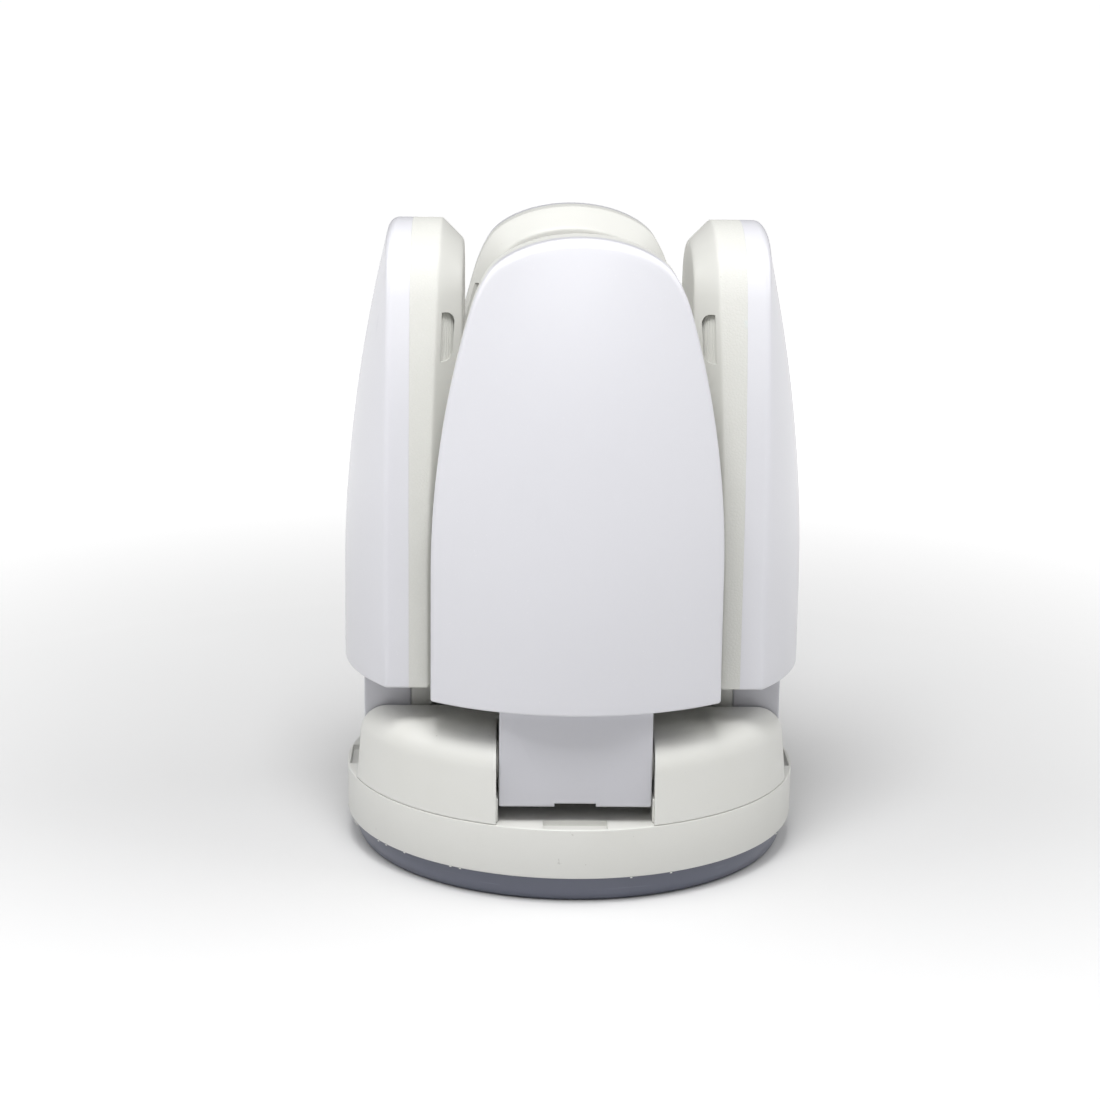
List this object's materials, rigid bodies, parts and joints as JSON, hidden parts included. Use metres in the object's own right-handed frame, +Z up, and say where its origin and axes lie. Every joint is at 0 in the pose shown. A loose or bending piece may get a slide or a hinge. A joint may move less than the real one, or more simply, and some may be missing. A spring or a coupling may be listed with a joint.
{
  "type": "folding four-panel led floodlight lamp",
  "caption": "Screw-in floodlight lamp with hinged opal light panels that fold up around the screw base, on a round base with its own downward light.",
  "frame": {"origin": "middle of the underside of the round bottom lens", "axes": "+Z up along the screw base's axis, with the panels folded; the front panel faces -Y, and the right panel faces +X"},
  "size_m": [0.1288, 0.1288, 0.1761],
  "materials": {
    "opal_pc": "satin opal diffuser",
    "cream_abs": "fine matt grain",
    "smoked_lens": "satin tinted diffuser",
    "board_white": "white solder mask",
    "board_green": "green solder mask",
    "aluminium": "satin",
    "nickel": "nickel plated",
    "brass": "soldered",
    "steel": "zinc plated",
    "black_insulator": "glossy",
    "nylon": "natural",
    "dark_plastic": "satin"
  },
  "bodies": {
    "base": {"bottom_lens": "smoked_lens", "base_led_board": "board_white", "base_heat_plate": "aluminium", "base_ring": "cream_abs", "top_housing": "cream_abs", "driver_column": "cream_abs", "driver_board": "board_green", "driver_transformer": "dark_plastic", "driver_capacitor": "dark_plastic", "contact_lead": "dark_plastic", "screw_shell": "nickel", "contact_insulator": "black_insulator", "centre_contact": "brass", "housing_screw_1": "steel", "housing_screw_2": "steel", "housing_screw_3": "steel", "housing_screw_4": "steel", "front_hinge_pin": "steel", "right_hinge_pin": "steel", "back_hinge_pin": "steel", "left_hinge_pin": "steel"},
    "front_panel": {"front_cover": "opal_pc", "front_shell": "cream_abs", "front_heat_sink": "aluminium", "front_led_board": "board_white", "front_bush_a": "nylon", "front_bush_b": "nylon", "front_screw_lower": "steel", "front_screw_upper": "steel"},
    "right_panel": {"right_cover": "opal_pc", "right_shell": "cream_abs", "right_heat_sink": "aluminium", "right_led_board": "board_white", "right_bush_a": "nylon", "right_bush_b": "nylon", "right_screw_lower": "steel", "right_screw_upper": "steel"},
    "back_panel": {"back_cover": "opal_pc", "back_shell": "cream_abs", "back_heat_sink": "aluminium", "back_led_board": "board_white", "back_bush_a": "nylon", "back_bush_b": "nylon", "back_screw_lower": "steel", "back_screw_upper": "steel"},
    "left_panel": {"left_cover": "opal_pc", "left_shell": "cream_abs", "left_heat_sink": "aluminium", "left_led_board": "board_white", "left_bush_a": "nylon", "left_bush_b": "nylon", "left_screw_lower": "steel", "left_screw_upper": "steel"}
  },
  "joints": [
    {"name": "front_fold", "type": "hinge", "parent": "base", "child": "front_panel", "pos_m": [0, -0.05, 0.036], "axis": [1, 0, 0], "range_deg": [0, 90]},
    {"name": "right_fold", "type": "hinge", "parent": "base", "child": "right_panel", "pos_m": [0.05, 0, 0.036], "axis": [0, 1, 0], "range_deg": [0, 90]},
    {"name": "back_fold", "type": "hinge", "parent": "base", "child": "back_panel", "pos_m": [0, 0.05, 0.036], "axis": [-1, 0, 0], "range_deg": [0, 90]},
    {"name": "left_fold", "type": "hinge", "parent": "base", "child": "left_panel", "pos_m": [-0.05, 0, 0.036], "axis": [0, -1, 0], "range_deg": [0, 90]}
  ]
}
